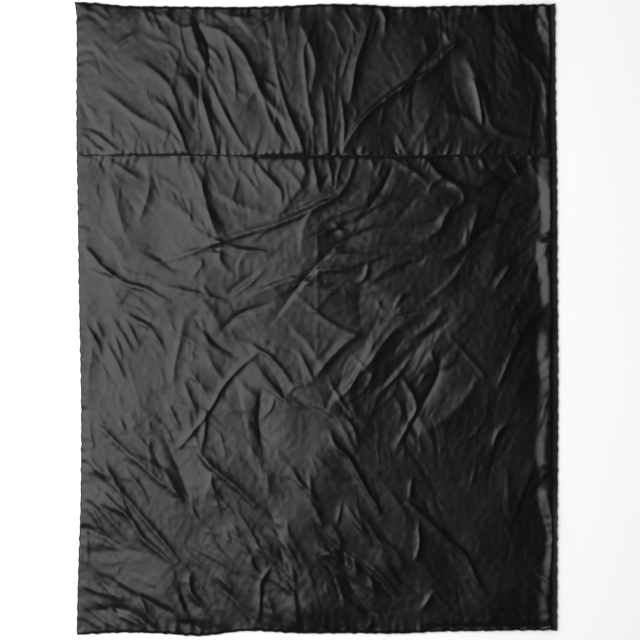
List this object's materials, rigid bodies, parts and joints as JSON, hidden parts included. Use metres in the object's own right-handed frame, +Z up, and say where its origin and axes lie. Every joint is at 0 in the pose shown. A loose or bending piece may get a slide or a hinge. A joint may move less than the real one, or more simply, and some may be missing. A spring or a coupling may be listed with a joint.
{
  "type": "camp quilt",
  "caption": "rectangular insulated camp quilt with a smooth black synthetic shell, a stitched cross seam and polyester fill, lying flat for use as a blanket or sleeping bag liner",
  "frame": {"origin": "centre of the outline, on the flat underside that the quilt rests on", "axes": "+Z up out of the top skin, +Y towards the head end with the cross seam, +X across the width to the right when seen from above with the head end away"},
  "size_m": [1.49, 1.95, 0.0165],
  "materials": {
    "shell_cloth": "black calendered polyester taffeta, satin",
    "lining_cloth": "black polyester taffeta, slightly duller",
    "polyester_fill": "white bonded hollow-fibre wadding",
    "seam_thread": "black spun polyester sewing thread"
  },
  "bodies": {
    "root": {"top_head_panel": "shell_cloth", "top_main_panel": "shell_cloth", "underside_head_panel": "lining_cloth", "underside_main_panel": "lining_cloth", "fill_head": "polyester_fill", "fill_main": "polyester_fill", "top_join_needle_thread": "seam_thread", "top_join_bobbin_thread": "seam_thread", "underside_join_needle_thread": "seam_thread", "underside_join_bobbin_thread": "seam_thread", "edge_seam_needle_thread": "seam_thread", "edge_seam_bobbin_thread": "seam_thread", "quilting_needle_thread": "seam_thread", "quilting_bobbin_thread": "seam_thread", "closing_needle_thread": "seam_thread", "closing_bobbin_thread": "seam_thread"}
  },
  "joints": []
}
